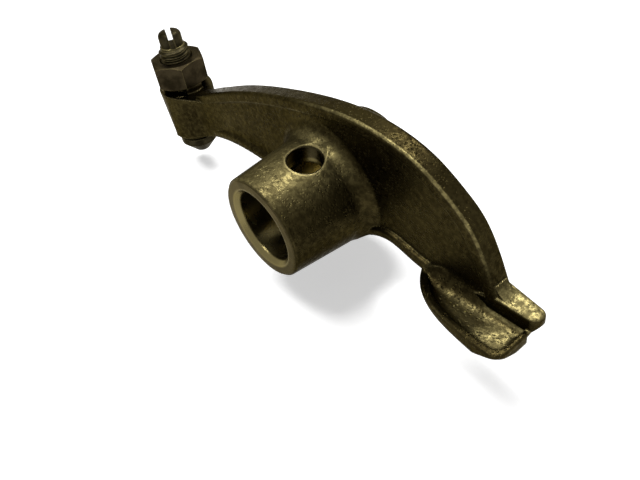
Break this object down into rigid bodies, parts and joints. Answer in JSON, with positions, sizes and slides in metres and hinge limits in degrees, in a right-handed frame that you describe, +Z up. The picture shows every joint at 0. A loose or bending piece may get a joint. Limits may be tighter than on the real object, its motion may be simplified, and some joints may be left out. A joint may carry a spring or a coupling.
{
  "type": "rocker arm",
  "caption": "Engine rocker arm: I-section lever on a long shaft hub, hollow-topped slipper pad for the cam at one end, slotted adjusting screw with locknut at the valve end.",
  "frame": {"origin": "on the axis of the shaft bore, in the middle plane of the arm", "axes": "+Y along the shaft bore, away from the long side of the hub; -X towards the adjusting screw; +X towards the slipper pad; +Z up along the adjusting screw"},
  "size_m": [0.1217, 0.0333, 0.0387],
  "materials": {
    "forged_iron": "bead-blasted dark olive-brown, machined hub face and bore",
    "screw_steel": "dark oiled thread",
    "nut_steel": "dark smooth flats"
  },
  "bodies": {
    "arm": {"rocker_arm": "forged_iron"},
    "nut": {"locknut": "nut_steel"},
    "screw": {"adjusting_screw": "screw_steel"}
  },
  "joints": [
    {"name": "adjuster_turn", "type": "hinge", "parent": "arm", "child": "nut", "pos_m": [-0.0612, 0, 0], "axis": [0, 0, 1], "range_deg": [-1081, 0]},
    {"name": "adjuster_travel", "type": "slide", "parent": "nut", "child": "screw", "axis": [0, 0, 1], "range_m": [-0.00375, 0]}
  ],
  "couplings": [
    {"joint": "adjuster_turn", "follows": "adjuster_travel", "rad_per_m": 5026.6}
  ]
}
